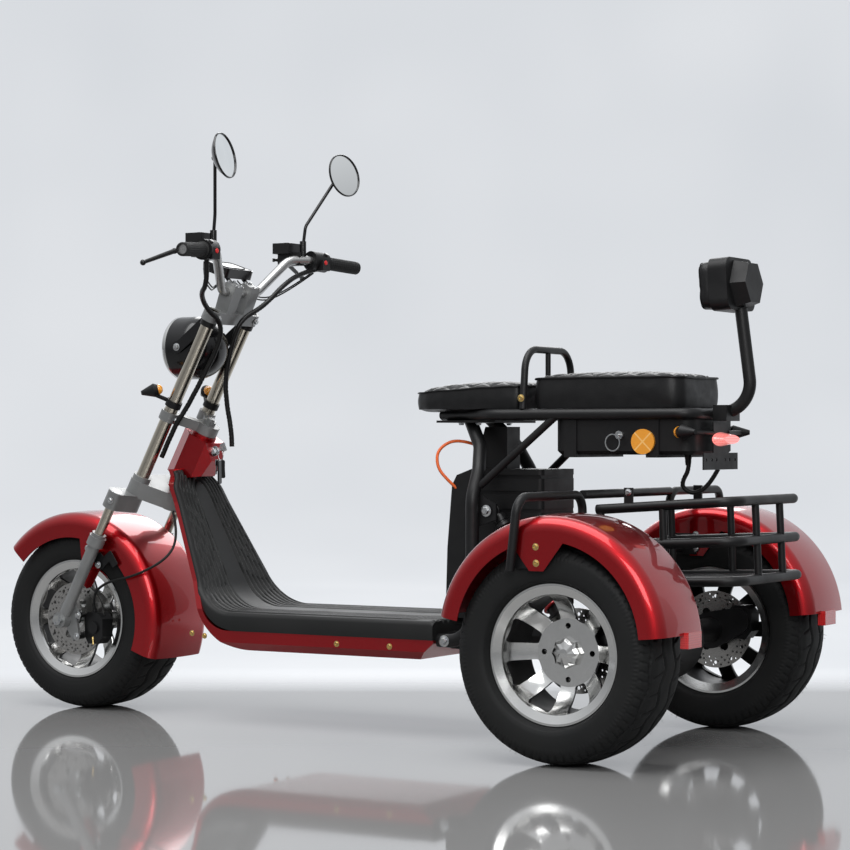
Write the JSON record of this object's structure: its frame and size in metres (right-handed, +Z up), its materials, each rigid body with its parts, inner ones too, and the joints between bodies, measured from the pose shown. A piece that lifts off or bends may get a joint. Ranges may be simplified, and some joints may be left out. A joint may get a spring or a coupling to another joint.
{
  "type": "three-wheeled electric scooter",
  "caption": "Sit-on electric scooter with one steered front wheel, two rear wheels on an axle, a flat floor, two seats, a backrest and a rear basket.",
  "frame": {"origin": "on the floor under the middle of the scooter as it stands on its wheels", "axes": "+X forward, +Y to the rider's left, +Z up"},
  "size_m": [2.0304, 1.02, 1.3628],
  "materials": {
    "tyre": "satin",
    "polished_alloy": "polished",
    "disc_steel": "satin",
    "cast_grey": "satin",
    "fork_steel": "polished",
    "bar_alloy": "satin",
    "red_paint": "gloss",
    "black_paint": "satin",
    "black_cast": "satin",
    "black_plastic": "satin",
    "black_rubber": "matte",
    "seat_leather": "satin",
    "lamp_red": "gloss",
    "lamp_amber": "gloss",
    "lock_steel": "polished",
    "orange_lead": "satin"
  },
  "bodies": {
    "frame": {"backrest_pad": "seat_leather", "backrest_post": "black_paint", "backrest_shell": "black_plastic", "battery_cable": "orange_lead", "battery_case": "black_plastic", "battery_cover": "black_plastic", "box_lock": "lock_steel", "fender_hoops": "black_paint", "floor_mat": "black_rubber", "front_saddle": "seat_leather", "grab_hoop": "black_paint", "ignition_lock": "lock_steel", "leg_shield": "red_paint", "main_frame": "black_paint", "neck": "red_paint", "plate_bracket": "black_plastic", "rear_axle": "black_paint", "rear_basket": "black_paint", "rear_brake_calipers": "black_cast", "rear_left_fender": "red_paint", "rear_right_fender": "red_paint", "rear_seat_pad": "seat_leather", "rear_shocks": "black_paint", "rear_turn_signals": "black_plastic", "reflectors": "lamp_amber", "seat_rails": "black_paint", "swing_arm": "black_paint", "tail_harness": "black_rubber", "tail_light": "lamp_red", "under_seat_box": "black_plastic"},
    "steering": {"lower_crown": "cast_grey", "mid_crown": "cast_grey", "top_crown": "cast_grey", "fork_tubes": "fork_steel", "fork_stanchions": "fork_steel", "fork_sliders": "cast_grey", "front_axle": "fork_steel", "front_brake_caliper": "black_cast", "handlebar": "bar_alloy", "grips": "black_rubber", "switch_pods": "black_cast", "brake_levers": "black_cast", "left_mirror": "black_plastic", "right_mirror": "black_plastic", "display": "black_plastic", "headlight": "black_plastic", "headlight_bracket": "black_paint", "front_turn_signals": "black_plastic", "front_fender": "red_paint", "control_cables": "black_rubber", "front_brake_hose": "black_rubber"},
    "front_wheel": {"front_tyre": "tyre", "front_rim": "polished_alloy", "front_brake_disc": "disc_steel"},
    "rear_left_wheel": {"rear_left_tyre": "tyre", "rear_left_rim": "polished_alloy", "rear_left_brake_disc": "disc_steel"},
    "rear_right_wheel": {"rear_right_tyre": "tyre", "rear_right_rim": "polished_alloy", "rear_right_brake_disc": "disc_steel"}
  },
  "joints": [
    {"name": "steering_turn", "type": "hinge", "parent": "frame", "child": "steering", "pos_m": [0.4961, 0, 0.61896], "axis": [-0.4695, 0, 0.8829], "range_deg": [-35, 35]},
    {"name": "front_wheel_spin", "type": "hinge", "parent": "steering", "child": "front_wheel", "pos_m": [0.79325, 0, 0.222], "axis": [0, 1, 0], "continuous": true},
    {"name": "rear_left_wheel_spin", "type": "hinge", "parent": "frame", "child": "rear_left_wheel", "pos_m": [-0.72475, 0.386, 0.227], "axis": [0, 1, 0], "continuous": true},
    {"name": "rear_right_wheel_spin", "type": "hinge", "parent": "frame", "child": "rear_right_wheel", "pos_m": [-0.72475, -0.386, 0.227], "axis": [0, 1, 0], "continuous": true}
  ]
}
